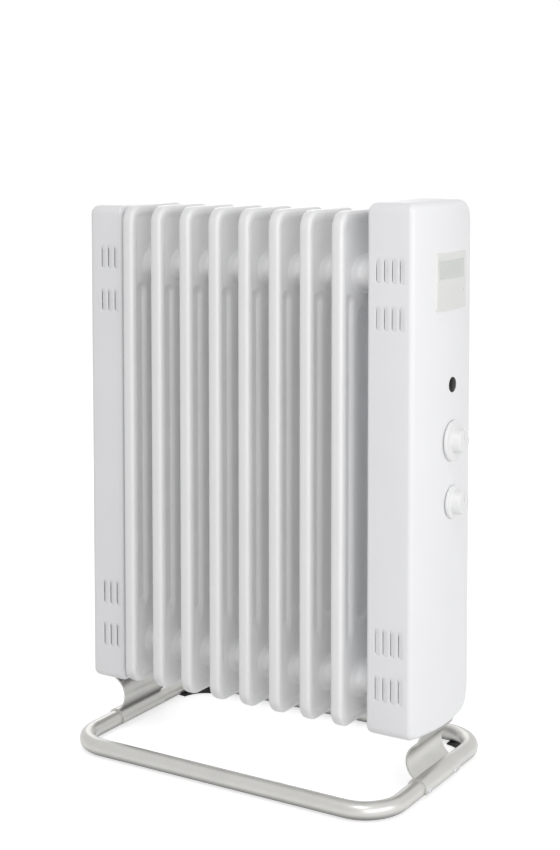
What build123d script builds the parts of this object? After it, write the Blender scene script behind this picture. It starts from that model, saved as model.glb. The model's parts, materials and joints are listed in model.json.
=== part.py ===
from build123d import *
import math
import os

# Oil filled radiator heater.  Millimetres.  X runs along the stack of fins, Y from
# front to back, Z up.  The origin is on the floor, under the middle of the overall box.

# ---------------------------------------------------------------- driving dimensions
# Fin stack.  The fins stand forward of the covers; the headers run through their middle.
FIN_COUNT = 8
FIN_PITCH = 40.8
FIRST_FIN_X = -164.0
FIN_FRONT = -85.5
FIN_DEPTH = 112.0
FIN_BOTTOM = 76.0
FIN_HEIGHT = 580.0
FIN_CORNER_RADIUS = 20.0
RIM_WIDTH = 14.6
RIM_DEPTH = 11.0
RIM_EDGE_RADIUS = 4.2
RIM_INNER_CORNER = 9.0
PLATEAU_WIDTH = 10.6
WEB_THICKNESS = 2.6
# Pockets: (offset from the middle of the fin, width, how far its ends stay back)
POCKETS = ((-34.5, 19.0, 0.0), (0.0, 30.0, 15.0), (34.5, 19.0, 0.0))
POCKET_BOTTOM = 173.0
POCKET_TOP = 563.0
UPPER_HEADER_Z = 584.5
LOWER_HEADER_Z = 122.8
NECK_RADIUS = 17.5
NECK_BORE_RADIUS = 15.0

# End covers
COVER_FRONT = -75.6
COVER_BACK = 72.4
COVER_BOW = 12.4
COVER_WALL = 1.6
SIDE_EDGE_RADIUS = 5.0
FRONT_CORNER_RADIUS = 9.0
BACK_TOP_RADIUS = 29.0
BACK_BOTTOM_RADIUS = 31.0

LEFT_OPEN_X = -179.1
LEFT_CORNER_X = -225.7
LEFT_BOTTOM = 73.0
LEFT_TOP = 655.0
LEFT_EDGE_RADIUS = 34.0

RIGHT_OPEN_X = 155.0
RIGHT_CORNER_X = 210.1
RIGHT_BOTTOM = 75.0
RIGHT_TOP = 667.0
RIGHT_INNER_RADIUS = 9.0
RIGHT_EDGE_RADIUS = 20.0
RETURN_LIP = 13.0

# Louvres: (bottom, top) of each row, the same on both covers
LOUVRE_ROWS = ((115.3, 145.2), (167.2, 198.0), (527.6, 555.0), (579.5, 607.5))
LOUVRE_PITCH = 9.58
LOUVRE_WIDTH = 7.0
LOUVRE_PUSH = 3.2
LOUVRE_GAP = 0.7
LEFT_LOUVRE_X = -210.0
LEFT_LOUVRE_COUNT = 3
RIGHT_LOUVRE_X = 165.6
RIGHT_LOUVRE_COUNT = 4

# Controls on the end face of the right cover
KNOB_GAP = 0.6
KNOB_HEIGHT = 15.0
KNOB_SKIRT_HEIGHT = 4.0
KNOB_GROOVE_WIDTH = 2.0
KNOB_GROOVE_DEPTH = 1.2
SELECTOR_Z = 399.2
SELECTOR_SKIRT_RADIUS = 23.2
SELECTOR_GRIP_RADIUS = 13.2
THERMOSTAT_Z = 330.1
THERMOSTAT_SKIRT_RADIUS = 18.7
THERMOSTAT_GRIP_RADIUS = 13.2
SHAFT_RADIUS = 3.0
SHAFT_HOLE_RADIUS = 5.0
LAMP_Z = 462.2
LAMP_RADIUS = 8.5
PANEL_HALF_WIDTH = 38.0
PANEL_BOTTOM = 545.6
PANEL_TOP = 610.9
PANEL_THICKNESS = 1.6
WINDOW_HALF_WIDTH = 32.0
WINDOW_BOTTOM = 581.0
WINDOW_TOP = 602.5

# Stand
TUBE_RADIUS = 10.0
TUBE_Z = 11.5
LOOP_CENTRE_X = -6.3
LOOP_HALF_LENGTH = 209.65
LOOP_HALF_DEPTH = 130.2
LOOP_CORNER_RADIUS = 45.0
BEND_STEPS = 4
FOOT_INNER_RADIUS = 32.0
FOOT_OUTER_RADIUS = 48.0
FOOT_LIP = 3.0
FOOT_LIP_HEIGHT = 8.0
FOOT_ARC = 76.0
SHEET = 2.0
SADDLE_HALF_LENGTH = 44.0
SADDLE_FLANGE = 34.0
SLEEVE_DROP_ANGLE = 26
BOLT_SPACING = 56.0
BOLT_HEAD_RADIUS = 4.6
BOLT_HEAD_HEIGHT = 3.5

os.makedirs("parts", exist_ok=True)

FIN_MIDDLE_Y = FIN_FRONT + FIN_DEPTH / 2
FIN_MIDDLE_Z = FIN_BOTTOM + FIN_HEIGHT / 2
LAST_FIN_X = FIRST_FIN_X + (FIN_COUNT - 1) * FIN_PITCH
NECK_END = FIN_PITCH - PLATEAU_WIDTH / 2
STACK_LEFT = FIRST_FIN_X - PLATEAU_WIDTH / 2
STACK_RIGHT = LAST_FIN_X + NECK_END
CLIP_SHARE = 0.8
COVER_MIDDLE_Y = (COVER_FRONT + COVER_BACK) / 2
COVER_HALF_DEPTH = (COVER_BACK - COVER_FRONT) / 2
BOW_RADIUS = (COVER_HALF_DEPTH ** 2 + COVER_BOW ** 2) / (2 * COVER_BOW)
FACE_X = RIGHT_CORNER_X + COVER_BOW
FACE_CENTRE_X = FACE_X - BOW_RADIUS


def save(piece, name):
    piece.label = name
    export_step(piece, f"parts/{name}.step")


# ---------------------------------------------------------------- fins
def make_fin():
    """One fin of two pressed sheets: folded rim, raised oil ways between pockets, necks."""
    with BuildPart() as fin:
        with BuildSketch(Plane.XY.offset(FIN_BOTTOM)):
            with Locations((0, FIN_MIDDLE_Y)):
                RectangleRounded(RIM_WIDTH, FIN_DEPTH, RIM_EDGE_RADIUS)
        extrude(amount=FIN_HEIGHT)
        with BuildSketch(Plane.YZ.offset(-RIM_WIDTH / 2)):
            with Locations((FIN_MIDDLE_Y, FIN_MIDDLE_Z)):
                RectangleRounded(FIN_DEPTH, FIN_HEIGHT, FIN_CORNER_RADIUS)
        extrude(amount=RIM_WIDTH, mode=Mode.INTERSECT)

        for side in (-1, 1):
            with BuildSketch(Plane.YZ.offset(side * RIM_WIDTH / 2)) as field:
                with Locations((FIN_MIDDLE_Y, FIN_MIDDLE_Z)):
                    Rectangle(FIN_DEPTH - 2 * RIM_DEPTH, FIN_HEIGHT - 2 * RIM_DEPTH)
                chamfer(field.vertices(), RIM_INNER_CORNER)
            extrude(amount=-side * (RIM_WIDTH - PLATEAU_WIDTH) / 2, mode=Mode.SUBTRACT)
            with BuildSketch(Plane.YZ.offset(side * PLATEAU_WIDTH / 2)):
                for offset_y, width, set_back in POCKETS:
                    length = POCKET_TOP - POCKET_BOTTOM - 2 * set_back
                    with Locations((FIN_MIDDLE_Y + offset_y, (POCKET_BOTTOM + POCKET_TOP) / 2)):
                        Rectangle(width, length)
            extrude(amount=-side * (PLATEAU_WIDTH - WEB_THICKNESS) / 2, mode=Mode.SUBTRACT)

        with BuildSketch(Plane.YZ):
            with Locations((FIN_MIDDLE_Y, LOWER_HEADER_Z), (FIN_MIDDLE_Y, UPPER_HEADER_Z)):
                Circle(NECK_RADIUS)
        extrude(amount=NECK_END)
        with BuildSketch(Plane.YZ.offset(-PLATEAU_WIDTH / 2)):
            with Locations((FIN_MIDDLE_Y, LOWER_HEADER_Z)):
                RegularPolygon(NECK_BORE_RADIUS, 8)
        extrude(amount=FIN_PITCH, mode=Mode.SUBTRACT)
    return fin.part


fin_form = make_fin()
for index in range(FIN_COUNT):
    with BuildPart() as fin_copy:
        with Locations((FIRST_FIN_X + index * FIN_PITCH, 0, 0)):
            add(fin_form)
    save(fin_copy.part, f"fin_{index + 1}")


# ---------------------------------------------------------------- end covers
def cover_form(open_x, corner_x, bottom, top, edge_radii, inset):
    """Rounded box of an end cover, or its inside when inset is the wall's thickness."""
    out = math.copysign(1, corner_x - open_x)
    corner = corner_x - out * inset
    face = corner_x + out * (COVER_BOW - inset)
    front = COVER_FRONT + inset
    back = COVER_BACK - inset
    low = bottom + inset
    high = top - inset
    near = open_x + out * inset
    inner_radius, outer_radius = edge_radii

    def soften(corners, radius):
        """Round a corner outside; clip it inside, where that leaves the wall thick enough."""
        if inset:
            chamfer(corners, CLIP_SHARE * (radius - inset))
        else:
            fillet(corners, radius)

    with BuildPart() as form:
        with BuildSketch(Plane.XY.offset(low)) as plan:
            with BuildLine():
                Polyline((corner, back), (near, back), (near, front), (corner, front))
                ThreePointArc((corner, front), (face, COVER_MIDDLE_Y), (corner, back))
            make_face()
            outer_corners = plan.vertices().group_by(Axis.X)[-1 if out > 0 else 0]
            soften(outer_corners, SIDE_EDGE_RADIUS)
        extrude(amount=high - low)

        with BuildSketch(Plane.YZ.offset(min(near, face))) as side_view:
            with BuildLine():
                Polyline((front, low), (back, low), (back, high), (front, high), close=True)
            make_face()
            fronts = side_view.vertices().group_by(Axis.X)[0]
            backs = side_view.vertices().group_by(Axis.X)[-1].sort_by(Axis.Y)
            soften(fronts, FRONT_CORNER_RADIUS)
            soften(backs[0], BACK_BOTTOM_RADIUS)
            soften(backs[1], BACK_TOP_RADIUS)
        extrude(amount=abs(face - near), mode=Mode.INTERSECT)

        with BuildSketch(Plane.XZ) as front_view:
            with BuildLine():
                Polyline((near, low), (face, low), (face, high), (near, high), close=True)
            make_face()
            columns = front_view.vertices().group_by(Axis.X)
            inner, outer = (columns[0], columns[-1]) if out > 0 else (columns[-1], columns[0])
            soften(outer, outer_radius)
            if inner_radius:
                soften(inner, inner_radius)
        extrude(amount=2 * COVER_HALF_DEPTH, both=True, mode=Mode.INTERSECT)
    return form.part


def louvre_openings(first_x, count):
    """Sketch of all the openings on one wall."""
    for low, high in LOUVRE_ROWS:
        for index in range(count):
            x = first_x + index * LOUVRE_PITCH + LOUVRE_WIDTH / 2
            with Locations((x, (low + high) / 2)):
                Rectangle(LOUVRE_WIDTH, high - low)


def louvre_tongues(first_x, count, wall_y, inward):
    """Tongues left attached along one side and pushed inwards at the other."""
    with BuildPart() as tongues:
        for low, high in LOUVRE_ROWS:
            for index in range(count):
                free_x = first_x + index * LOUVRE_PITCH + LOUVRE_GAP
                root_x = first_x + index * LOUVRE_PITCH + LOUVRE_WIDTH
                with BuildSketch(Plane.XY.offset(low + LOUVRE_GAP)):
                    with BuildLine():
                        Polyline(
                            (root_x + LOUVRE_GAP, wall_y),
                            (root_x + LOUVRE_GAP, wall_y + inward * COVER_WALL),
                            (free_x, wall_y + inward * (COVER_WALL + LOUVRE_PUSH)),
                            (free_x, wall_y + inward * LOUVRE_PUSH),
                            (root_x, wall_y),
                            close=True,
                        )
                    make_face()
                extrude(amount=high - low - 2 * LOUVRE_GAP)
    return tongues.part


BOLT_INSET = 24.0
GLAND_Z = 225.0
GLAND_X = 186.0
GLAND_WIDTH = 13.0
GLAND_HEIGHT = 11.0

with BuildPart() as left_end_cover:
    add(cover_form(LEFT_OPEN_X, LEFT_CORNER_X, LEFT_BOTTOM, LEFT_TOP, (0, LEFT_EDGE_RADIUS), 0))
    add(
        cover_form(
            LEFT_OPEN_X + 2 * COVER_WALL, LEFT_CORNER_X, LEFT_BOTTOM, LEFT_TOP,
            (0, LEFT_EDGE_RADIUS), COVER_WALL,
        ),
        mode=Mode.SUBTRACT,
    )
    with BuildSketch(Plane.XZ.offset(-COVER_FRONT)):
        louvre_openings(LEFT_LOUVRE_X, LEFT_LOUVRE_COUNT)
    extrude(amount=-COVER_WALL, mode=Mode.SUBTRACT)
    add(louvre_tongues(LEFT_LOUVRE_X, LEFT_LOUVRE_COUNT, COVER_FRONT, 1))
save(left_end_cover.part, "left_end_cover")

with BuildPart() as control_cover:
    add(
        cover_form(
            RIGHT_OPEN_X, RIGHT_CORNER_X, RIGHT_BOTTOM, RIGHT_TOP,
            (RIGHT_INNER_RADIUS, RIGHT_EDGE_RADIUS), 0,
        )
    )
    add(
        cover_form(
            RIGHT_OPEN_X, RIGHT_CORNER_X, RIGHT_BOTTOM, RIGHT_TOP,
            (RIGHT_INNER_RADIUS, RIGHT_EDGE_RADIUS), COVER_WALL,
        ),
        mode=Mode.SUBTRACT,
    )
    with BuildSketch(Plane.YZ.offset(RIGHT_OPEN_X)):
        with Locations((COVER_MIDDLE_Y, (RIGHT_BOTTOM + RIGHT_TOP) / 2)):
            Rectangle(
                COVER_BACK - COVER_FRONT - 2 * RETURN_LIP,
                RIGHT_TOP - RIGHT_BOTTOM - 2 * RETURN_LIP,
            )
    extrude(amount=COVER_WALL, mode=Mode.SUBTRACT)
    with BuildSketch(Plane.XZ.offset(-COVER_FRONT)):
        louvre_openings(RIGHT_LOUVRE_X, RIGHT_LOUVRE_COUNT)
    extrude(amount=-COVER_WALL, mode=Mode.SUBTRACT)
    add(louvre_tongues(RIGHT_LOUVRE_X, RIGHT_LOUVRE_COUNT, COVER_FRONT, 1))
    with BuildSketch(Plane.YZ.offset(RIGHT_CORNER_X)):
        with Locations((0, SELECTOR_Z), (0, THERMOSTAT_Z)):
            Circle(SHAFT_HOLE_RADIUS)
        with Locations((0, LAMP_Z)):
            Circle(LAMP_RADIUS)
        with Locations((0, (WINDOW_BOTTOM + WINDOW_TOP) / 2)):
            Rectangle(2 * WINDOW_HALF_WIDTH, WINDOW_TOP - WINDOW_BOTTOM)
    extrude(amount=2 * COVER_BOW, mode=Mode.SUBTRACT)
    with BuildSketch(Plane.XZ.offset(-COVER_BACK + COVER_WALL)):
        with Locations((GLAND_X, GLAND_Z)):
            Rectangle(GLAND_WIDTH, GLAND_HEIGHT)
    extrude(amount=-2 * COVER_WALL, mode=Mode.SUBTRACT)
save(control_cover.part, "control_cover")

# ---------------------------------------------------------------- stack ends and brackets
PLUG_RADIUS = 19.5
PLUG_THICKNESS = 3.0
STUD_RADIUS = 7.0
BRACKET_THICKNESS = 1.5
LEFT_BRACKET_X = -190.0
LEFT_BRACKET_WIDTH = 84.0
TAB_LENGTH = 12.0
CHASSIS_X = 164.0
CHASSIS_WIDTH = 104.0
CHASSIS_MIDDLE_Y = -9.0
CHASSIS_TAB = 38.0


def hexagon_plug(end_x, seat_x, z):
    """Six-sided plug that closes a header, with a stud out to the bracket that holds it."""
    out = math.copysign(1, seat_x - end_x)
    with BuildPart() as plug:
        with BuildSketch(Plane.YZ.offset(end_x)):
            with Locations((FIN_MIDDLE_Y, z)):
                RegularPolygon(PLUG_RADIUS, 6)
        extrude(amount=out * PLUG_THICKNESS)
        with BuildSketch(Plane.YZ.offset(end_x)):
            with Locations((FIN_MIDDLE_Y, z)):
                RegularPolygon(STUD_RADIUS, 6)
        extrude(amount=seat_x - end_x)
    return plug.part


with BuildPart() as left_neck_plugs:
    for z in (LOWER_HEADER_Z, UPPER_HEADER_Z):
        add(hexagon_plug(STACK_LEFT, LEFT_BRACKET_X, z))
save(left_neck_plugs.part, "left_neck_plugs")

with BuildPart() as oil_filler_plug:
    add(hexagon_plug(STACK_RIGHT, CHASSIS_X, UPPER_HEADER_Z))
save(oil_filler_plug.part, "oil_filler_plug")


def folded_bracket(plate_x, out, width, middle_y, low, high, tab):
    """Upright plate with a tab folded over at its foot and its head."""
    with BuildPart() as bracket:
        with BuildSketch(Plane.XZ.offset(-middle_y - width / 2)):
            with BuildLine():
                Polyline(
                    (plate_x, low),
                    (plate_x + out * tab, low),
                    (plate_x + out * tab, low + BRACKET_THICKNESS),
                    (plate_x + out * BRACKET_THICKNESS, low + BRACKET_THICKNESS),
                    (plate_x + out * BRACKET_THICKNESS, high - BRACKET_THICKNESS),
                    (plate_x + out * tab, high - BRACKET_THICKNESS),
                    (plate_x + out * tab, high),
                    (plate_x, high),
                    close=True,
                )
            make_face()
        extrude(amount=width)
    return bracket.part


with BuildPart() as left_bracket:
    add(
        folded_bracket(
            LEFT_BRACKET_X, -1, LEFT_BRACKET_WIDTH, COVER_MIDDLE_Y,
            LEFT_BOTTOM + COVER_WALL, LEFT_TOP - COVER_WALL, TAB_LENGTH,
        )
    )
save(left_bracket.part, "left_bracket")

ELEMENT_HEAD_RADIUS = 21.0
ELEMENT_HEAD_CLEARANCE = 2.0
with BuildPart() as heat_shield:
    add(
        folded_bracket(
            CHASSIS_X, 1, CHASSIS_WIDTH, CHASSIS_MIDDLE_Y,
            RIGHT_BOTTOM + COVER_WALL, RIGHT_TOP - COVER_WALL, CHASSIS_TAB,
        )
    )
    with BuildSketch(Plane.YZ.offset(CHASSIS_X)):
        with Locations((FIN_MIDDLE_Y, LOWER_HEADER_Z)):
            RegularPolygon(ELEMENT_HEAD_RADIUS + ELEMENT_HEAD_CLEARANCE, 6)
    extrude(amount=BRACKET_THICKNESS, mode=Mode.SUBTRACT)
save(heat_shield.part, "heat_shield")

# ---------------------------------------------------------------- heating element
ELEMENT_ROD_RADIUS = 4.2
ELEMENT_SPREAD = 7.5
ELEMENT_TIP_X = FIRST_FIN_X + 12.0
HEAD_LENGTH = 13.0
TERMINAL_LENGTH = 12.0
TERMINAL_WIDTH = 6.0
TERMINAL_THICKNESS = 1.0
ROD_Y = (FIN_MIDDLE_Y - ELEMENT_SPREAD, FIN_MIDDLE_Y + ELEMENT_SPREAD)
ROD_ENDS = [(y, LOWER_HEADER_Z) for y in ROD_Y]

with BuildPart() as heating_element:
    with BuildLine():
        Polyline(
            (STACK_RIGHT, ROD_Y[0], LOWER_HEADER_Z),
            (ELEMENT_TIP_X, ROD_Y[0], LOWER_HEADER_Z),
            (ELEMENT_TIP_X, ROD_Y[1], LOWER_HEADER_Z),
            (STACK_RIGHT, ROD_Y[1], LOWER_HEADER_Z),
        )
    with BuildSketch(Plane.YZ.offset(STACK_RIGHT)):
        with Locations(ROD_ENDS[0]):
            Circle(ELEMENT_ROD_RADIUS)
    sweep(transition=Transition.RIGHT)
save(heating_element.part, "heating_element")

with BuildPart() as element_head:
    with BuildSketch(Plane.YZ.offset(STACK_RIGHT)):
        with Locations((FIN_MIDDLE_Y, LOWER_HEADER_Z)):
            RegularPolygon(ELEMENT_HEAD_RADIUS, 6)
    extrude(amount=HEAD_LENGTH)
    with BuildSketch(Plane.YZ.offset(STACK_RIGHT + HEAD_LENGTH)):
        with Locations(*ROD_ENDS):
            Rectangle(TERMINAL_WIDTH, TERMINAL_THICKNESS)
    extrude(amount=TERMINAL_LENGTH)
save(element_head.part, "element_head")


# ---------------------------------------------------------------- controls
SWITCH_WIDTH = 40.0
SWITCH_HEIGHT = 36.0
THERMOSTAT_WIDTH = 46.0
THERMOSTAT_HEIGHT = 38.0
SOCKET_WIDTH = 10.0
SOCKET_LENGTH = 12.0
SOCKET_DEPTH = 10.0
SHAFT_PLAY = 0.3
BODY_FRONT_X = 204.0


def knob(z, skirt_radius, grip_radius):
    """Knob on the end of its shaft: flat skirt, round grip, groove across it as a pointer."""
    back = FACE_X + KNOB_GAP
    front = back + KNOB_HEIGHT
    with BuildPart() as form:
        with BuildSketch(Plane.YZ.offset(back)):
            with Locations((0, z)):
                Circle(skirt_radius)
        extrude(amount=KNOB_SKIRT_HEIGHT)
        with BuildSketch(Plane.YZ.offset(back)):
            with Locations((0, z)):
                Circle(grip_radius)
        extrude(amount=KNOB_HEIGHT)
        with BuildSketch(Plane.YZ.offset(front)):
            with Locations((0, z + grip_radius / 2)):
                Rectangle(KNOB_GROOVE_WIDTH, grip_radius)
        extrude(amount=-KNOB_GROOVE_DEPTH, mode=Mode.SUBTRACT)
    return form.part


def shaft(z):
    """Spindle from inside its switch's socket to the back of its knob."""
    start = BODY_FRONT_X - SOCKET_DEPTH + SHAFT_PLAY
    with BuildPart() as form:
        with BuildSketch(Plane.YZ.offset(start)):
            with Locations((0, z)):
                Circle(SHAFT_RADIUS)
        extrude(amount=FACE_X + KNOB_GAP - start)
    return form.part


def control_body(z, width, height):
    """Switch or thermostat block, with the socket that its shaft turns in."""
    back = CHASSIS_X + BRACKET_THICKNESS
    with BuildPart() as form:
        with BuildSketch(Plane.YZ.offset(back)):
            with Locations((0, z)):
                Rectangle(width, height)
        extrude(amount=BODY_FRONT_X - back)
        with BuildSketch(Plane.YZ.offset(BODY_FRONT_X)):
            with Locations((0, z)):
                Rectangle(SOCKET_WIDTH, SOCKET_WIDTH)
        extrude(amount=SOCKET_LENGTH)
        with BuildSketch(Plane.YZ.offset(BODY_FRONT_X + SOCKET_LENGTH)):
            with Locations((0, z)):
                Circle(SHAFT_RADIUS + SHAFT_PLAY)
        extrude(amount=-SOCKET_LENGTH - SOCKET_DEPTH, mode=Mode.SUBTRACT)
    return form.part


save(knob(SELECTOR_Z, SELECTOR_SKIRT_RADIUS, SELECTOR_GRIP_RADIUS), "selector_knob")
save(knob(THERMOSTAT_Z, THERMOSTAT_SKIRT_RADIUS, THERMOSTAT_GRIP_RADIUS), "thermostat_knob")
save(shaft(SELECTOR_Z), "selector_shaft")
save(shaft(THERMOSTAT_Z), "thermostat_shaft")
save(control_body(SELECTOR_Z, SWITCH_WIDTH, SWITCH_HEIGHT), "selector_switch")
save(control_body(THERMOSTAT_Z, THERMOSTAT_WIDTH, THERMOSTAT_HEIGHT), "thermostat_body")

# Display: a curved panel on the face, a clear window in it, a board behind
with BuildPart() as display_panel:
    with BuildSketch(Plane.XY.offset(PANEL_BOTTOM)):
        with Locations((FACE_CENTRE_X, COVER_MIDDLE_Y)):
            Circle(BOW_RADIUS + PANEL_THICKNESS)
            Circle(BOW_RADIUS, mode=Mode.SUBTRACT)
        with Locations((FACE_X, 0)):
            Rectangle(2 * COVER_BOW, 2 * PANEL_HALF_WIDTH, mode=Mode.INTERSECT)
    extrude(amount=PANEL_TOP - PANEL_BOTTOM)
    with BuildSketch(Plane.YZ.offset(RIGHT_CORNER_X)):
        with Locations((0, (WINDOW_BOTTOM + WINDOW_TOP) / 2)):
            Rectangle(2 * WINDOW_HALF_WIDTH, WINDOW_TOP - WINDOW_BOTTOM)
    extrude(amount=2 * COVER_BOW, mode=Mode.SUBTRACT)
save(display_panel.part, "display_panel")

with BuildPart() as display_window:
    with BuildSketch(Plane.XY.offset(WINDOW_BOTTOM)):
        with Locations((FACE_CENTRE_X, COVER_MIDDLE_Y)):
            Circle(BOW_RADIUS + PANEL_THICKNESS - 0.7)
            Circle(BOW_RADIUS - COVER_WALL, mode=Mode.SUBTRACT)
        with Locations((FACE_X, 0)):
            Rectangle(2 * COVER_BOW, 2 * WINDOW_HALF_WIDTH, mode=Mode.INTERSECT)
    extrude(amount=WINDOW_TOP - WINDOW_BOTTOM)
save(display_window.part, "display_window")

BOARD_X = 206.0
BOARD_THICKNESS = 1.6
GLASS_MARGIN = 3.0
GLASS_THICKNESS = 5.0
POST_WIDTH = 6.0
POST_Y = 30.0
SHIELD_FRONT_X = CHASSIS_X + BRACKET_THICKNESS
with BuildPart() as display_board:
    with BuildSketch(Plane.YZ.offset(BOARD_X)):
        with Locations((0, (PANEL_BOTTOM + PANEL_TOP) / 2)):
            Rectangle(2 * PANEL_HALF_WIDTH, PANEL_TOP - PANEL_BOTTOM)
    extrude(amount=BOARD_THICKNESS)
    with BuildSketch(Plane.YZ.offset(BOARD_X + BOARD_THICKNESS)):
        with Locations((0, (WINDOW_BOTTOM + WINDOW_TOP) / 2)):
            Rectangle(
                2 * (WINDOW_HALF_WIDTH - GLASS_MARGIN),
                WINDOW_TOP - WINDOW_BOTTOM - 2 * GLASS_MARGIN,
            )
    extrude(amount=GLASS_THICKNESS)
    with BuildSketch(Plane.YZ.offset(BOARD_X)):
        with Locations((-POST_Y, PANEL_BOTTOM + POST_WIDTH), (POST_Y, PANEL_BOTTOM + POST_WIDTH)):
            Rectangle(POST_WIDTH, POST_WIDTH)
    extrude(amount=SHIELD_FRONT_X - BOARD_X)
save(display_board.part, "display_board")

LENS_BACK = 3.0
LENS_CROWN = 1.4
HOLDER_WIDTH = 12.0
with BuildPart() as indicator_lens:
    with BuildSketch(Plane.YZ.offset(FACE_X - LENS_BACK)):
        with Locations((0, LAMP_Z)):
            Circle(LAMP_RADIUS)
    extrude(amount=LENS_BACK + LENS_CROWN)
save(indicator_lens.part, "indicator_lens")

with BuildPart() as lamp_holder:
    with BuildSketch(Plane.YZ.offset(SHIELD_FRONT_X)):
        with Locations((0, LAMP_Z)):
            Rectangle(HOLDER_WIDTH, HOLDER_WIDTH)
    extrude(amount=FACE_X - LENS_BACK - SHIELD_FRONT_X)
save(lamp_holder.part, "lamp_holder")

# ---------------------------------------------------------------- wiring parts on the shield
CUTOUT_Z = 520.0
CUTOUT_WIDTH = 24.0
CUTOUT_HEIGHT = 18.0
CUTOUT_DEPTH = 10.0
with BuildPart() as thermal_cutout:
    with BuildSketch(Plane.YZ.offset(SHIELD_FRONT_X)):
        with Locations((0, CUTOUT_Z)):
            Rectangle(CUTOUT_WIDTH, CUTOUT_HEIGHT)
    extrude(amount=CUTOUT_DEPTH)
save(thermal_cutout.part, "thermal_cutout")

TILT_SWITCH_Z = 210.0
TILT_SWITCH_SIZE = (20.0, 36.0, 44.0)
with BuildPart() as tilt_switch:
    with BuildSketch(Plane.YZ.offset(SHIELD_FRONT_X)):
        with Locations((0, TILT_SWITCH_Z)):
            Rectangle(TILT_SWITCH_SIZE[1], TILT_SWITCH_SIZE[2])
    extrude(amount=TILT_SWITCH_SIZE[0])
save(tilt_switch.part, "tilt_switch")

TERMINAL_BLOCK_Z = 268.0
TERMINAL_BLOCK_SIZE = (16.0, 50.0, 18.0)
WIRE_WAY_SPACING = 16.0
WIRE_WAY_WIDTH = 3.0
WIRE_WAY_DEPTH = 6.0
with BuildPart() as terminal_block:
    with BuildSketch(Plane.YZ.offset(SHIELD_FRONT_X)):
        with Locations((0, TERMINAL_BLOCK_Z)):
            Rectangle(TERMINAL_BLOCK_SIZE[1], TERMINAL_BLOCK_SIZE[2])
    extrude(amount=TERMINAL_BLOCK_SIZE[0])
    with BuildSketch(Plane.YZ.offset(SHIELD_FRONT_X + TERMINAL_BLOCK_SIZE[0])):
        with Locations((0, TERMINAL_BLOCK_Z)):
            with GridLocations(WIRE_WAY_SPACING, 1, 2, 1):
                Rectangle(WIRE_WAY_WIDTH, TERMINAL_BLOCK_SIZE[2])
    extrude(amount=-WIRE_WAY_DEPTH, mode=Mode.SUBTRACT)
save(terminal_block.part, "terminal_block")

GLAND_INSIDE = 8.0
GLAND_LIP_EDGE = 3.0
GLAND_LIP = 2.5
GLAND_TAIL = 12.0
CORD_RADIUS = 3.6
with BuildPart() as cable_gland:
    with BuildSketch(Plane.XZ.offset(-COVER_BACK + GLAND_INSIDE)):
        with Locations((GLAND_X, GLAND_Z)):
            Rectangle(GLAND_WIDTH, GLAND_HEIGHT)
    extrude(amount=-GLAND_INSIDE - GLAND_LIP - GLAND_TAIL)
    with BuildSketch(Plane.XZ.offset(-COVER_BACK)):
        with Locations((GLAND_X, GLAND_Z)):
            Rectangle(GLAND_WIDTH + 2 * GLAND_LIP_EDGE, GLAND_HEIGHT + 2 * GLAND_LIP_EDGE)
    extrude(amount=-GLAND_LIP)
    with BuildSketch(Plane.XZ.offset(-COVER_BACK + GLAND_INSIDE)):
        with Locations((GLAND_X, GLAND_Z)):
            Circle(CORD_RADIUS)
    extrude(amount=-GLAND_INSIDE - GLAND_LIP - GLAND_TAIL, mode=Mode.SUBTRACT)
save(cable_gland.part, "cable_gland")

# ---------------------------------------------------------------- stand
LOOP_STRAIGHT_X = LOOP_HALF_LENGTH - LOOP_CORNER_RADIUS
LOOP_STRAIGHT_Y = LOOP_HALF_DEPTH - LOOP_CORNER_RADIUS


def bend_points(side, end):
    """Mitre points of one bent corner of the tube, outside its arc, from side run to end run."""
    step = 90 / BEND_STEPS
    reach = LOOP_CORNER_RADIUS / math.cos(math.radians(step / 2))
    angles = [math.radians((index + 0.5) * step) for index in range(BEND_STEPS)]
    return [
        (
            LOOP_CENTRE_X + side * (LOOP_STRAIGHT_X + reach * math.cos(angle)),
            end * (LOOP_STRAIGHT_Y + reach * math.sin(angle)),
        )
        for angle in angles
    ]


with BuildPart() as stand_loop:
    with BuildLine(Plane.XY.offset(TUBE_Z)):
        Polyline(
            (LOOP_CENTRE_X, -LOOP_HALF_DEPTH),
            *reversed(bend_points(1, -1)),
            *bend_points(1, 1),
            (LOOP_CENTRE_X, LOOP_HALF_DEPTH),
        )
    with BuildSketch(Plane((LOOP_CENTRE_X, -LOOP_HALF_DEPTH, TUBE_Z), z_dir=(1, 0, 0))):
        Circle(TUBE_RADIUS)
    sweep(transition=Transition.RIGHT)
    mirror(about=Plane.YZ.offset(LOOP_CENTRE_X))
save(stand_loop.part, "stand_loop")


def rubber_foot(side, end):
    """Pad under one bend of the tube, with a lip that hugs the inside of the bend."""
    centre = (LOOP_CENTRE_X + side * LOOP_STRAIGHT_X, end * LOOP_STRAIGHT_Y)
    start = math.degrees(math.atan2(end, side)) - FOOT_ARC / 2
    with BuildPart() as foot:
        for outer_radius, height in (
            (FOOT_OUTER_RADIUS, TUBE_Z - TUBE_RADIUS),
            (FOOT_INNER_RADIUS + FOOT_LIP, FOOT_LIP_HEIGHT),
        ):
            with BuildSketch():
                with BuildLine():
                    inside = CenterArc(centre, FOOT_INNER_RADIUS, start, FOOT_ARC)
                    outside = CenterArc(centre, outer_radius, start, FOOT_ARC)
                    Line(inside @ 0, outside @ 0)
                    Line(inside @ 1, outside @ 1)
                make_face()
            extrude(amount=height)
    return foot.part


with BuildPart() as rubber_feet:
    for side in (-1, 1):
        for end in (-1, 1):
            add(rubber_foot(side, end))
save(rubber_feet.part, "rubber_feet")


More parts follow.
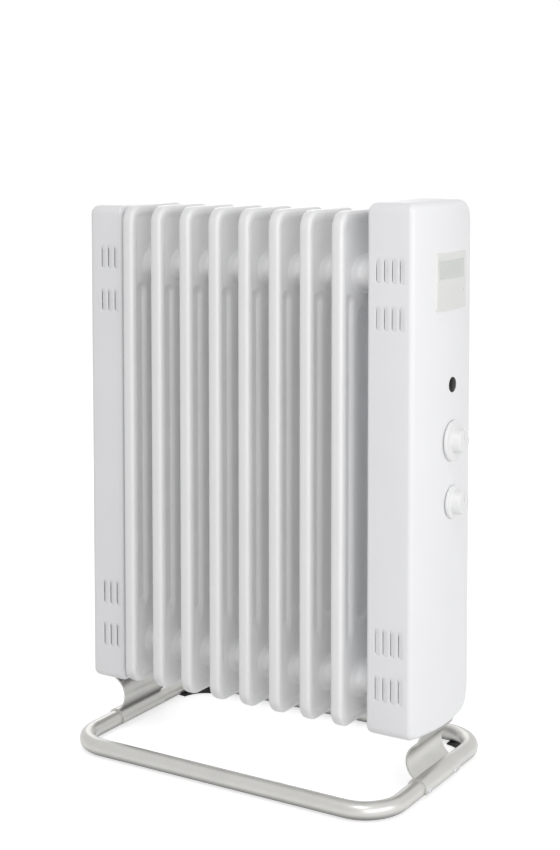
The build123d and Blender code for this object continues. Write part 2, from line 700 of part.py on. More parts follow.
def saddle(tube_x, out, cover_bottom):
    """Bent sheet: flange under the cover, hollow C section, half sleeve over the tube."""
    half = SHEET / 2
    with BuildPart() as form:
        section = Plane((tube_x, SADDLE_HALF_LENGTH, 0), x_dir=(out, 0, 0), z_dir=(0, -out, 0))
        with BuildSketch(section):
            with BuildLine():
                start = -SLEEVE_DROP_ANGLE
                sweep_angle = 180 + 2 * SLEEVE_DROP_ANGLE
                inside = CenterArc((0, TUBE_Z), TUBE_RADIUS, start, sweep_angle)
                outside = CenterArc((0, TUBE_Z), TUBE_RADIUS + SHEET, start, sweep_angle)
                Line(inside @ 0, outside @ 0)
                Line(inside @ 1, outside @ 1)
            make_face()
            with BuildLine():
                low = (-3.5, TUBE_Z + TUBE_RADIUS + half)
                middle = (-13.5, 40)
                high = (0, 62)
                top = (5, cover_bottom - half)
                ThreePointArc(low, middle, high)
                Line(high, top)
                Line(top, (5 - SADDLE_FLANGE, cover_bottom - half))
                offset(amount=half, kind=Kind.INTERSECTION, side=Side.BOTH)
            make_face()
        extrude(amount=out * 2 * SADDLE_HALF_LENGTH)
    return form.part


LEFT_TUBE_X = LOOP_CENTRE_X - LOOP_HALF_LENGTH
RIGHT_TUBE_X = LOOP_CENTRE_X + LOOP_HALF_LENGTH
save(saddle(LEFT_TUBE_X, -1, LEFT_BOTTOM), "left_saddle")
save(saddle(RIGHT_TUBE_X, 1, RIGHT_BOTTOM), "right_saddle")

with BuildPart() as saddle_bolts:
    for x, cover_bottom in (
        (LEFT_CORNER_X + BOLT_INSET, LEFT_BOTTOM),
        (RIGHT_CORNER_X - BOLT_INSET, RIGHT_BOTTOM),
    ):
        with BuildSketch(Plane.XY.offset(cover_bottom - SHEET)):
            with Locations((x, -BOLT_SPACING / 2), (x, BOLT_SPACING / 2)):
                RegularPolygon(BOLT_HEAD_RADIUS, 6)
        extrude(amount=-BOLT_HEAD_HEIGHT)
save(saddle_bolts.part, "saddle_bolts")
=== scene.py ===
import json
import math

import bmesh
import bpy
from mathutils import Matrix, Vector


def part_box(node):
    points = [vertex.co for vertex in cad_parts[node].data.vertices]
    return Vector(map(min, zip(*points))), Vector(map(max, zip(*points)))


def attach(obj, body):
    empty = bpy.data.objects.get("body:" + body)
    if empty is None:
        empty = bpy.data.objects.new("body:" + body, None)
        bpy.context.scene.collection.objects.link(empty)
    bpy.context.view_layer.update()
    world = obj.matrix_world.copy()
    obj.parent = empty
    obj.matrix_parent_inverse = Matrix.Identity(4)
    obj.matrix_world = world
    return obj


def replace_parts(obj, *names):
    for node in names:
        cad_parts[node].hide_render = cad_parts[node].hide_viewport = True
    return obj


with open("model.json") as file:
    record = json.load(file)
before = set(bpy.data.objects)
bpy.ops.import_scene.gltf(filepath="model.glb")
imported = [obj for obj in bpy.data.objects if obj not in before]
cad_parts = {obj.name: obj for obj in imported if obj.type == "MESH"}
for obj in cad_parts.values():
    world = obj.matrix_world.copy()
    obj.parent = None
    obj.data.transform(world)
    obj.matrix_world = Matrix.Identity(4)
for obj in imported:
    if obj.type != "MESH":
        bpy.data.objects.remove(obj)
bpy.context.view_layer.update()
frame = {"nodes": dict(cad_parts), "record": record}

# Shapes are worked out in millimetres in the frame's own axes, and scaled() turns them into metres.
MM = 0.001
NODES = frame["nodes"]


# ---------------------------------------------------------------- camera
# The photograph's viewing angle; places in metres and turns in degrees.
CAMERA_PLACE = (0.9853, -1.6115, 0.7440)
CAMERA_TURN = 31.345
CAMERA_PITCH = 3.814
CAMERA_LENS = 67.99
CAMERA_SHIFT = (-0.0055, -0.22)
SENSOR_WIDTH = 36


def make_camera():
    data = bpy.data.cameras.new("camera")
    data.lens = CAMERA_LENS
    data.sensor_width = SENSOR_WIDTH
    data.shift_x, data.shift_y = CAMERA_SHIFT
    camera = bpy.data.objects.new("camera", data)
    camera.location = CAMERA_PLACE
    camera.rotation_euler = (math.radians(90 - CAMERA_PITCH), 0, math.radians(CAMERA_TURN))
    bpy.context.scene.collection.objects.link(camera)
    bpy.context.scene.camera = camera


# ---------------------------------------------------------------- node materials
GLOSS = 0.5
NOISE_RANGE = (0.3, 0.7)
RAMP_ENDS = (0.35, 0.65)
# A normal's Z, from facing the floor to facing level, over which the painted shade fades out.
FLOORWARD = (-0.85, 0.05)
BUMP_STRENGTH = 0.1


def new_material(name):
    material = bpy.data.materials.new(name)
    material.use_nodes = True
    nodes = material.node_tree.nodes
    shader = next(n for n in nodes if n.type == "BSDF_PRINCIPLED")
    return material, nodes, material.node_tree.links, shader


def noise(nodes, links, scale, detail=3.0):
    """A noise in the object's own space, in metres."""
    coordinates = nodes.new("ShaderNodeTexCoord")
    texture = nodes.new("ShaderNodeTexNoise")
    texture.inputs["Scale"].default_value = scale
    texture.inputs["Detail"].default_value = detail
    links.new(coordinates.outputs["Object"], texture.inputs["Vector"])
    return texture.outputs["Fac"]


def mottle(nodes, links, shader, colour, change, scale, detail=3.0):
    """Base colour that wanders a little about one colour."""
    ramp = nodes.new("ShaderNodeValToRGB")
    low, high = ramp.color_ramp.elements
    low.position, high.position = RAMP_ENDS
    low.color = [c * (1 - change) for c in colour] + [1]
    high.color = [min(c * (1 + change), 1) for c in colour] + [1]
    links.new(noise(nodes, links, scale, detail), ramp.inputs["Fac"])
    links.new(ramp.outputs["Color"], shader.inputs["Base Color"])


def spread(nodes, source, low, high):
    """Node that maps a range of values onto the one from low to high."""
    node = nodes.new("ShaderNodeMapRange")
    node.inputs["From Min"].default_value = source[0]
    node.inputs["From Max"].default_value = source[1]
    node.inputs["To Min"].default_value = low
    node.inputs["To Max"].default_value = high
    return node


def roughen(nodes, links, shader, low, high, scale):
    """Roughness that wanders between two values."""
    span = spread(nodes, NOISE_RANGE, low, high)
    links.new(noise(nodes, links, scale), span.inputs["Value"])
    links.new(span.outputs["Result"], shader.inputs["Roughness"])


def bump(nodes, links, shader, grain, depth):
    """Fine grain; every visible shape is in the meshes."""
    node = nodes.new("ShaderNodeBump")
    node.inputs["Strength"].default_value = BUMP_STRENGTH
    node.inputs["Distance"].default_value = depth
    links.new(noise(nodes, links, grain, 2), node.inputs["Height"])
    links.new(node.outputs["Normal"], shader.inputs["Normal"])


def paint_shade_below(nodes, links, shader, least):
    """Painted shade: darker base colour where a surface faces the floor, as on the tube's underside."""
    geometry = nodes.new("ShaderNodeNewGeometry")
    split = nodes.new("ShaderNodeSeparateXYZ")
    span = spread(nodes, FLOORWARD, least, 1.0)
    span.interpolation_type = "SMOOTHSTEP"
    shade = nodes.new("ShaderNodeVectorMath")
    shade.operation = "SCALE"
    paint = shader.inputs["Base Color"].links[0].from_socket
    links.new(geometry.outputs["Normal"], split.inputs[0])
    links.new(split.outputs["Z"], span.inputs["Value"])
    links.new(paint, shade.inputs[0])
    links.new(span.outputs["Result"], shade.inputs["Scale"])
    links.new(shade.outputs[0], shader.inputs["Base Color"])


def enamel(name, colour, rough):
    """Powder coat with a faint cloudiness in its colour and its gloss."""
    material, nodes, links, shader = new_material(name)
    mottle(nodes, links, shader, colour, 0.006, 14, 1)
    roughen(nodes, links, shader, rough - 0.02, rough + 0.02, 12)
    shader.inputs["Specular IOR Level"].default_value = GLOSS
    return material


def plastic(name, colour, rough, change=0.01, grain=900, depth=0.00002, gloss=GLOSS):
    """Moulded plastic or rubber with a fine grain."""
    material, nodes, links, shader = new_material(name)
    shader.inputs["Specular IOR Level"].default_value = gloss
    mottle(nodes, links, shader, colour, change, 25)
    roughen(nodes, links, shader, max(rough - 0.03, 0.02), rough + 0.03, 60)
    bump(nodes, links, shader, grain, depth)
    return material


def metal(name, colour, rough, metallic=1.0, underside_shade=None):
    """Bare metal, or a metallic paint where metallic is below 1, optionally with painted shade where it
    faces the floor.
    """
    material, nodes, links, shader = new_material(name)
    mottle(nodes, links, shader, colour, 0.02, 40, 2)
    # Painted shade: the base colour darkens where the surface faces the floor.
    if underside_shade is not None:
        paint_shade_below(nodes, links, shader, underside_shade)
    roughen(nodes, links, shader, rough - 0.02, rough + 0.03, 60)
    shader.inputs["Metallic"].default_value = metallic
    return material


MATERIALS = {
    "fin_enamel": enamel("fin_enamel", (0.885, 0.885, 0.89), 0.32),
    "cover_enamel": enamel("cover_enamel", (0.89, 0.89, 0.905), 0.38),
    # The stand's tube gets painted shade on its floor-facing underside.
    "stand_enamel": metal("stand_enamel", (0.62, 0.615, 0.59), 0.32, 0.55, underside_shade=0.22),
    "zinc_sheet": metal("zinc_sheet", (0.62, 0.63, 0.65), 0.32),
    "element_steel": metal("element_steel", (0.35, 0.34, 0.33), 0.40),
    "brass": metal("brass", (0.72, 0.55, 0.28), 0.30),
    "white_plastic": plastic("white_plastic", (0.84, 0.845, 0.84), 0.30),
    "panel_plastic": plastic("panel_plastic", (0.77, 0.775, 0.75), 0.30),
    "window_plastic": plastic("window_plastic", (0.64, 0.66, 0.64), 0.16),
    "board_plastic": plastic("board_plastic", (0.06, 0.20, 0.10), 0.45),
    "black_lens": plastic("black_lens", (0.005, 0.005, 0.005), 0.30, gloss=0.12),
    "dark_plastic": plastic("dark_plastic", (0.05, 0.05, 0.055), 0.50),
    "black_rubber": plastic("black_rubber", (0.025, 0.025, 0.025), 0.75, 0.1, 700, 0.00005),
}


def dress_cad():
    """Give every CAD node the material of its finish in the record."""
    slots = {s["node"]: s["material_slot"] for s in frame["record"]["subparts"]}
    for name, obj in NODES.items():
        material = MATERIALS[slots[name]]
        if not obj.material_slots:
            obj.data.materials.append(material)
        for slot in obj.material_slots:
            slot.material = material


# ---------------------------------------------------------------- mesh helpers
SHARP = 32
CORNERS = ((-1, -1), (1, -1), (1, 1), (-1, 1))


def finish_mesh(mesh, sharp=SHARP):
    """Merge doubles, point the normals out and shade smooth up to an angle."""
    form = bmesh.new()
    form.from_mesh(mesh)
    bmesh.ops.remove_doubles(form, verts=form.verts, dist=2e-6)
    bmesh.ops.dissolve_degenerate(form, dist=1e-6, edges=form.edges)
    bmesh.ops.recalc_face_normals(form, faces=form.faces)
    limit = math.radians(sharp)
    for face in form.faces:
        face.smooth = True
    for edge in form.edges:
        edge.smooth = edge.calc_face_angle(0) < limit
    form.to_mesh(mesh)
    form.free()


def plain_object(name, mesh):
    obj = bpy.data.objects.new(name, mesh)
    bpy.context.scene.collection.objects.link(obj)
    return obj


def place(name, mesh, slot, body="heater", at=(0, 0, 0)):
    """Show a mesh as a piece that rides on a body in one of the record's finishes."""
    obj = plain_object(name, mesh)
    obj.location = [c * MM for c in at]
    if not mesh.materials:
        mesh.materials.append(MATERIALS[slot])
    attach(obj, body)
    return obj


def new_mesh(name, verts, faces, sharp=SHARP):
    mesh = bpy.data.meshes.new(name)
    mesh.from_pydata(verts, [], faces)
    finish_mesh(mesh, sharp)
    return mesh


def cut(mesh, cutter, name):
    """Mesh less the cutter's mesh."""
    target, tool = plain_object("cut_target", mesh), plain_object("cut_tool", cutter)
    change = target.modifiers.new("cut", "BOOLEAN")
    change.operation = "DIFFERENCE"
    change.solver = "EXACT"
    change.object = tool
    bpy.context.view_layer.update()
    graph = bpy.context.evaluated_depsgraph_get()
    result = bpy.data.meshes.new_from_object(target.evaluated_get(graph))
    result.name = name
    for obj in (target, tool):
        bpy.data.objects.remove(obj)
    finish_mesh(result)
    return result


def smooth_step(low, high, value):
    """0 at low, 1 at high and level at both; low may be the larger."""
    t = min(max((value - low) / (high - low), 0), 1)
    return t * t * (3 - 2 * t)


def mix(a, b, t):
    return a + (b - a) * t


def centre_of(node):
    low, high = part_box(node)
    return [(a + b) / 2 / MM for a, b in zip(low, high)]


def halves_of(node):
    """Half extents of a node's box."""
    low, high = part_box(node)
    return [(b - a) / 2 / MM for a, b in zip(low, high)]


def lathe(profile, centre, segments):
    """Closed turned form about an axis along X; profile is a list of (x, radius)."""
    cx, cy, cz = centre
    verts, faces = [], []
    for x, radius in profile:
        for k in range(segments):
            a = 2 * math.pi * k / segments
            verts.append((cx + x, cy + radius * math.cos(a), cz + radius * math.sin(a)))
    for i in range(len(profile) - 1):
        for k in range(segments):
            n = (k + 1) % segments
            a, b = i * segments, (i + 1) * segments
            faces.append((a + k, b + k, b + n, a + n))
    last = (len(profile) - 1) * segments
    faces.append(tuple(reversed(range(segments))))
    faces.append(tuple(range(last, last + segments)))
    return verts, faces


def bridge(bottom, top):
    """Closed form between two outlines with the same number of points."""
    n = len(bottom)
    faces = [tuple(range(n)), tuple(reversed(range(n, 2 * n)))]
    faces += [(i, (i + 1) % n, n + (i + 1) % n, n + i) for i in range(n)]
    return list(bottom) + list(top), faces


def prism_along_y(outline, low, high):
    """Straight form over a closed outline of points (x, z)."""
    return bridge([(x, low, z) for x, z in outline], [(x, high, z) for x, z in outline])


def prism_along_x(outline, low, high):
    """Straight form over a closed outline of points (y, z)."""
    return bridge([(low, y, z) for y, z in outline], [(high, y, z) for y, z in outline])


def two_sided(columns, rows):
    """Faces of two grids of columns x rows points and of the wall round their edges.

    The first grid's points come before the second's, column by column.
    """
    half = rows * columns

    def at(side, i, j):
        return side * half + i * rows + j

    faces = []
    for i in range(columns - 1):
        for j in range(rows - 1):
            for side in (0, 1):
                corners = ((i, j), (i + 1, j), (i + 1, j + 1), (i, j + 1))
                faces.append(tuple(at(side, *c) for c in corners))
    for i in range(columns - 1):
        for j in (0, rows - 1):
            faces.append((at(0, i, j), at(0, i + 1, j), at(1, i + 1, j), at(1, i, j)))
    for j in range(rows - 1):
        for i in (0, columns - 1):
            faces.append((at(0, i, j), at(0, i, j + 1), at(1, i, j + 1), at(1, i, j)))
    return faces


def round_corner(y, z, half_y, half_z, radius):
    """Move a point of a rectangular grid so that the grid's corners become round."""
    a, b = abs(y) - half_y + radius, abs(z) - half_z + radius
    if a <= 0 or b <= 0:
        return y, z
    shrink = max(a, b) / math.hypot(a, b)
    return (math.copysign(half_y - radius + a * shrink, y),
            math.copysign(half_z - radius + b * shrink, z))


def join(parts):
    """One list of points and faces out of several."""
    verts, faces = [], []
    for part_verts, part_faces in parts:
        start = len(verts)
        verts += part_verts
        faces += [tuple(i + start for i in face) for face in part_faces]
    return verts, faces


def scaled(part):
    """The same form in metres."""
    verts, faces = part
    return [tuple(c * MM for c in v) for v in verts], faces


# ---------------------------------------------------------------- fins
FIN_COUNT = 8
FIN_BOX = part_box("fin_1")
PITCH = (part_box("fin_2")[0].x - FIN_BOX[0].x) / MM
RIM_HALF = 7.3
RIM_ROUND = 4.2
RIM_FOLD = (9.0, 12.6)
CORNER = 20.0
PLATEAU = 5.3
WEB = 1.3
COLLAR_RISE = 1.1
COLLAR_RADII = (33, 23)
NECK = 17.3
NECK_WIDER = 1.3
# Insets of the grid's lines from the fin's edge, closest where the rim is rounded and folded.
RIM_LINES = (0, 0.35, 1.2, 2.5, 4.2, 7.0, 9.2, 10.2, 11.2, 12.4, 14.2, 16.6, 20)
INNER_COLUMNS = 28
FINE_ROW, COARSE_ROW = 2.9, 9.0
FINE_NEAR_NECK = 36
HALF_ROW = 1.5
# Stretches of height with fine rows, where the pockets end.
FINE_ZONES = ((-197, -166), (172, 200))
# Pockets between the oil ways: (middle, half width, how much shorter at each end).
POCKETS = ((-34.5, 9.5, 0.0), (0.0, 15.0, 15.0), (34.5, 9.5, 0.0))
POCKET_ENDS = (-193.0, 197.0)
POCKET_WALL = (0.8, -3.8)


def pocket_depth(y, z):
    """How far a point lies in a pocket, 0 on the oil ways to 1 on the web."""
    deepest = 0
    centre, length = sum(POCKET_ENDS) / 2, POCKET_ENDS[1] - POCKET_ENDS[0]
    for middle, half_width, set_back in POCKETS:
        half = length / 2 - set_back
        radius = half_width * 0.9
        a = max(abs(y - middle) - half_width + radius, 0)
        b = max(abs(z - centre) - half + radius, 0)
        deepest = max(deepest, smooth_step(*POCKET_WALL, math.hypot(a, b) - radius))
    return deepest


def fin_height(y, z, inset, necks):
    """Half thickness of a fin."""
    if inset < RIM_ROUND:
        return RIM_HALF - RIM_ROUND + math.sqrt(RIM_ROUND ** 2 - (RIM_ROUND - inset) ** 2)
    raised = max(smooth_step(*COLLAR_RADII, math.hypot(y, z - neck)) for neck in necks)
    field = PLATEAU - (PLATEAU - WEB) * pocket_depth(y, z) + COLLAR_RISE * raised
    return mix(RIM_HALF, field, smooth_step(*RIM_FOLD, inset))


def fin_rows(half_z, necks):
    """Heights of the grid's rows, close together at the necks and at the pockets' ends."""
    rows = [-half_z + d for d in RIM_LINES]
    z = rows[-1]
    while True:
        near_neck = any(abs(z + HALF_ROW - n) < FINE_NEAR_NECK for n in necks)
        near_end = any(low < z < high for low, high in FINE_ZONES)
        z += FINE_ROW if near_neck or near_end else COARSE_ROW
        if z > half_z - CORNER - 2:
            break
        rows.append(z)
    return rows + [half_z - d for d in reversed(RIM_LINES)]


def fin_grid(half_y, half_z, necks):
    """Pressed sheet of one fin, both sides joined round the rim."""
    inner = half_y - CORNER
    across = [-half_y + d for d in RIM_LINES]
    across += [-inner + 2 * inner * k / INNER_COLUMNS for k in range(1, INNER_COLUMNS)]
    across += [half_y - d for d in reversed(RIM_LINES)]
    rows = fin_rows(half_z, necks)
    verts = []
    for side in (-1, 1):
        for y in across:
            for z in rows:
                inset = min(half_y - abs(y), half_z - abs(z))
                py, pz = round_corner(y, z, half_y, half_z, CORNER)
                verts.append((side * fin_height(py, pz, inset, necks), py, pz))
    return verts, two_sided(len(across), len(rows))


def neck_profile(reach):
    """Flared neck from one fin to the next, with a weld bead round its middle."""
    flare = [(4.6, 25.5), (6.0, 23.6), (7.0, 21.6), (8.2, 19.6), (9.8, 18.2), (12.4, 17.5), (15.4, NECK)]
    bead = [(-2.6, 0), (-1.9, 0.5), (-0.9, 0.85), (0, 0.95), (0.9, 0.85), (1.9, 0.5), (2.6, 0)]
    profile = flare + [(reach / 2 + x, NECK + r) for x, r in bead]
    return profile + [(reach - x, r) for x, r in reversed(flare)]


def make_fins():
    """Eight pressed fins that share one mesh, each with the necks to the next fin on its right."""
    _, centre_y, centre_z = centre_of("fin_1")
    _, half_y, half_z = halves_of("fin_1")
    necks = [centre_of(node)[2] - centre_z for node in ("element_head", "oil_filler_plug")]
    parts = [fin_grid(half_y, half_z, necks)]
    for z in necks:
        verts, faces = lathe(neck_profile(PITCH), (0, 0, z), 64)
        parts.append(([(vx, vy * NECK_WIDER, vz) for vx, vy, vz in verts], faces))
    mesh = new_mesh("pressed_fin", *scaled(join(parts)), sharp=38)
    for i in range(FIN_COUNT):
        middle_x = FIN_BOX[0].x / MM + RIM_HALF + i * PITCH
        at = (middle_x, centre_y, centre_z)
        fin = place(f"pressed_fin_{i + 1}", mesh, "fin_enamel", at=at)
        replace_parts(fin, f"fin_{i + 1}")


# ---------------------------------------------------------------- end covers
BOW = 12.4
SHEET = 1.6
COVER_LENGTH = {"left_end_cover": 59.0, "control_cover": 67.5}
# Corner radii seen from the side: front foot, front top, back top, back foot.
COVER_CORNERS = (10, 11, 29, 31)
SIDE_ROUND = 5
TOP_ROUND = {"left_end_cover": 10.5, "control_cover": 10}
FOOT_ROUND = 8.5
LIP = 13
# Roundings at the lip: their share of those at the face, and the least.
LIP_SHARE = 0.8
LIP_LEAST = 0.6
CORNER_STEPS = 10
EDGE_STEPS = {"long": 22, "short": 16}
ROUND_STEPS = 8
HEART_STEPS = 12
# Rows of louvres (foot, head), and for each cover the first slot's left side and the count.
LOUVRE_ROWS = ((115.3, 145.2), (167.2, 198.0), (527.6, 555.0), (579.5, 607.5))
LOUVRES = {"left_end_cover": (-210.0, 3), "control_cover": (165.6, 4)}
LOUVRE_PITCH = 9.58
LOUVRE_WIDTH = 7.0
LOUVRE_DEPTH = 2.4
BLADE_SHEET = 1.0
BLADE_GAP = 0.15
BLADE_BEHIND = 0.02
# How far a blade runs on behind the wall at its right and at its head.
BLADE_OVERLAP = (0.2, 0.1)
# Shares of a blade's full depth at its head, and of its height over which the depth grows.
HEAD_DEPTH = 0.08
HEAD_SLOPE = 0.22
BLADE_CURVE = 1.25
# Reach of the cutters in front of a wall and behind it.
CUT_BEFORE, CUT_BEHIND = 3, 5
# Openings of the control cover: two radii, the cutters' ends along X, and half the gland's hole.
SHAFT_HOLE = 5
LENS_HOLE = 8.7
FACE_CUT = (205, 235)
GLAND_HALVES = (6.5, 5.5)


def cover_outline(low, high, radii):
    """Points (y, z) and outward normals round a cover's side view, from the front foot."""
    corners = (
        (low[0], low[1], 1, 1, radii[0], 180),
        (high[0], low[1], -1, 1, radii[3], 270),
        (high[0], high[1], -1, -1, radii[2], 0),
        (low[0], high[1], 1, -1, radii[1], 90),
    )
    arcs = []
    for y, z, sy, sz, radius, start in corners:
        cy, cz = y + sy * radius, z + sz * radius
        arc = []
        for i in range(CORNER_STEPS + 1):
            a = math.radians(start + 90 * i / CORNER_STEPS)
            ny, nz = math.cos(a), math.sin(a)
            arc.append((cy + radius * ny, cz + radius * nz, ny, nz))
        arcs.append(arc)
    points = []
    for k, arc in enumerate(arcs):
        points += arc
        y1, z1, ny, nz = arc[-1]
        y2, z2 = arcs[(k + 1) % 4][0][:2]
        count = EDGE_STEPS["short" if k % 2 == 0 else "long"]
        points += [(mix(y1, y2, i / count), mix(z1, z2, i / count), ny, nz) for i in range(1, count)]
    return points


def cover_rings(node, out, wall):
    """Rings of points from an end cover's open edge, round its rounded edges, to its heart.

    out is the way along X in which the cover bows; wall is 0 for the outside and the
    sheet's thickness for the inside.
    """
    low, high = [[c / MM for c in corner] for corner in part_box(node)]
    near = low[0] if out > 0 else high[0]
    start = near + out * wall
    apex = near + out * (COVER_LENGTH[node] - wall)
    middle, half = (low[1] + high[1]) / 2, (high[1] - low[1]) / 2
    outline = cover_outline(
        (low[1] + wall, low[2] + wall),
        (high[1] - wall, high[2] - wall),
        [r - wall for r in COVER_CORNERS],
    )

    def face(y):
        return apex - out * BOW * ((y - middle) / half) ** 2

    def rounding(ny, nz):
        ends = TOP_ROUND[node] if nz > 0 else FOOT_ROUND
        return SIDE_ROUND * ny * ny + ends * nz * nz - wall

    turned_in = LIP - wall
    rings = [[(start, y - ny * turned_in, z - nz * turned_in) for y, z, ny, nz in outline]]
    for k in range(7):
        angle = math.radians(90 - 15 * k)
        ring = []
        for y, z, ny, nz in outline:
            r = max(rounding(ny, nz) * LIP_SHARE, LIP_LEAST)
            inset = r * (1 - math.cos(angle))
            ring.append((start + out * r * (1 - math.sin(angle)), y - ny * inset, z - nz * inset))
        rings.append(ring)
    for k in range(ROUND_STEPS + 1):
        angle = math.radians(90 * k / ROUND_STEPS)
        ring = []
        for y, z, ny, nz in outline:
            r = rounding(ny, nz)
            inset = r * (1 - math.cos(angle))
            py, pz = y - ny * inset, z - nz * inset
            ring.append((face(py) - out * r * (1 - math.sin(angle)), py, pz))
        rings.append(ring)
    edge = rings[-1]
    for k in range(1, HEART_STEPS + 1):
        ring = []
        for _, y, z in edge:
            heart = min(max(z, low[2] + half), high[2] - half)
            py, pz = mix(y, middle, k / HEART_STEPS), mix(z, heart, k / HEART_STEPS)
            ring.append((face(py), py, pz))
        rings.append(ring)
    return rings


def cover_shell(node, out):
    """Closed thin shell of an end cover, open towards the fins inside its turned-in lip."""
    rings = list(reversed(cover_rings(node, out, 0))) + cover_rings(node, out, SHEET)
    count = len(rings[0])
    verts = [v for ring in rings for v in ring]
    faces = []
    for i in range(len(rings) - 1):
        for k in range(count):
            n = (k + 1) % count
            faces.append((i * count + k, i * count + n, (i + 1) * count + n, (i + 1) * count + k))
    return verts, faces


def louvre_slot(x, z_low, z_high):
    """Outline of one slot; its lower left corner is the rounder one."""
    points = []
    for cx, cz, sx, sz, radius, start in (
        (x, z_low, 1, 1, 3.2, 180),
        (x + LOUVRE_WIDTH, z_low, -1, 1, 1.2, 270),
        (x + LOUVRE_WIDTH, z_high, -1, -1, 1.2, 0),
        (x, z_high, 1, -1, 1.6, 90),
    ):
        for i in range(6):
            a = math.radians(start + 18 * i)
            arc_x, arc_z = radius * math.cos(a), radius * math.sin(a)
            points.append((cx + sx * radius + arc_x, cz + sz * radius + arc_z))
    return points


def louvre_places(node):
    first, count = LOUVRES[node]
    return [(first + k * LOUVRE_PITCH, low, high) for low, high in LOUVRE_ROWS for k in range(count)]


def louvre_blade(x, z_low, z_high, front):
    """Blade pressed in at its left edge, level with the wall at its right and nearly at its head."""
    across, up = 9, 22
    verts = []
    for layer in (0, BLADE_SHEET):
        for i in range(across + 1):
            u = i / across
            for j in range(up + 1):
                v = j / up
                pressed = mix(HEAD_DEPTH, 1, smooth_step(0, HEAD_SLOPE, 1 - v))
                depth = LOUVRE_DEPTH * (1 - u) ** BLADE_CURVE * pressed
                verts.append((
                    mix(x + BLADE_GAP, x + LOUVRE_WIDTH + BLADE_OVERLAP[0], u),
                    front + depth + layer + BLADE_BEHIND,
                    mix(z_low + BLADE_GAP, z_high + BLADE_OVERLAP[1], v),
                ))
    return verts, two_sided(across + 1, up + 1)


def make_cover(node, out, holes):
    """An end cover with its louvres; holes are the forms of its other openings."""
    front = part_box(node)[0].y / MM
    shell = new_mesh("shell", *scaled(cover_shell(node, out)))
    outlines = [louvre_slot(*p) for p in louvre_places(node)]
    slots = [prism_along_y(o, front - CUT_BEFORE, front + CUT_BEHIND) for o in outlines]
    tool = new_mesh("cutters", *scaled(join(slots + holes)))
    mesh = cut(shell, tool, node + "_shell")
    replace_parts(place(node + "_shell", mesh, "cover_enamel"), node)
    blades = join([louvre_blade(*p, front) for p in louvre_places(node)])
    place(node + "_louvres", new_mesh(node + "_louvres", *scaled(blades)), "cover_enamel")


def control_cover_holes():
    """Round holes for both shafts and the lens, and the gland's hole in the back wall."""
    holes = []
    radii = {"selector_shaft": SHAFT_HOLE, "thermostat_shaft": SHAFT_HOLE, "indicator_lens": LENS_HOLE}
    for node, radius in radii.items():
        _, y, z = centre_of(node)
        holes.append(lathe([(x, radius) for x in FACE_CUT], (0, y, z), 48))
    x, _, z = centre_of("cable_gland")
    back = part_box("control_cover")[1].y / MM
    wide, tall = GLAND_HALVES
    gland = [(x + a * wide, z + b * tall) for a, b in CORNERS]
    return holes + [prism_along_y(gland, back - CUT_BEHIND, back + CUT_BEHIND)]


# ---------------------------------------------------------------- stand
BEND_RADIUS = 45
# The four bends of the loop: side along X, side along Y, and the angle where the bend starts.
BENDS = ((1, 1, 0), (-1, 1, 90), (-1, -1, 180), (1, -1, 270))
BEND_STEP = 5
TUBE_SEGMENTS = 40


def tube_frame():
    """Middle of the loop, the tube's radius, and the bends' centres from the middle."""
    centre, halves = centre_of("stand_loop"), halves_of("stand_loop")
    radius = halves[2]
    return centre, radius, [half - radius - BEND_RADIUS for half in halves[:2]]


def make_stand():
    """The closed loop of bent tube."""
    (cx, cy, cz), radius, (hx, hy) = tube_frame()
    path = []
    for sx, sy, start in BENDS:
        for turned in range(0, 91, BEND_STEP):
            a = math.radians(start + turned)
            path.append((
                cx + sx * hx + BEND_RADIUS * math.cos(a),
                cy + sy * hy + BEND_RADIUS * math.sin(a),
                a,
            ))
    verts, faces = [], []
    for x, y, turn in path:
        for k in range(TUBE_SEGMENTS):
            a = 2 * math.pi * k / TUBE_SEGMENTS
            reach = radius * math.cos(a)
            z = cz + radius * math.sin(a)
            verts.append((x + reach * math.cos(turn), y + reach * math.sin(turn), z))
    for i in range(len(path)):
        here, there = i * TUBE_SEGMENTS, (i + 1) % len(path) * TUBE_SEGMENTS
        for k in range(TUBE_SEGMENTS):
            n = (k + 1) % TUBE_SEGMENTS
            faces.append((here + k, there + k, there + n, here + n))
    tube = place("stand_tube", new_mesh("stand_tube", *scaled((verts, faces))), "stand_enamel")
    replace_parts(tube, "stand_loop")


# Pads: radii from the bend's centre, the stretch of the bend they cover, and their lips' heights.
PAD_INSIDE = 32.8
PAD_OUTSIDE = 44.3
PAD_CLEARANCE = 0.06
PAD_BELOW_MIDDLE = 1.2
PAD_START, PAD_TURN, PAD_STEPS = 7, 76, 26
LIP_LOW, LIP_RISE = 1.6, 5.4


def pad_section(tube_z, hug, rise):
    """Outline (radius, z) of a pad, with its inner lip raised to about rise."""
    end = math.pi / 2
    short = tube_z - PAD_BELOW_MIDDLE - rise
    if short > 0:
        end -= math.asin(min(short / hug, 1))
    points = [(PAD_INSIDE + 0.4, 0.3), (PAD_INSIDE + 0.8, 0)]
    points += [(PAD_OUTSIDE - 0.4, 0), (PAD_OUTSIDE, 0.3), (PAD_OUTSIDE, 0.5)]
    for k in range(12):
        t = mix(math.radians(4), end, k / 11)
        points.append((BEND_RADIUS - hug * math.sin(t), tube_z - hug * math.cos(t)))
    edge = BEND_RADIUS - hug * math.sin(end)
    return points + [
        (edge - 0.5, rise + 1.1),
        (mix(edge, PAD_INSIDE, 0.6), rise + 0.9),
        (PAD_INSIDE + 0.1, rise + 0.3),
        (PAD_INSIDE, rise * 0.6),
    ]


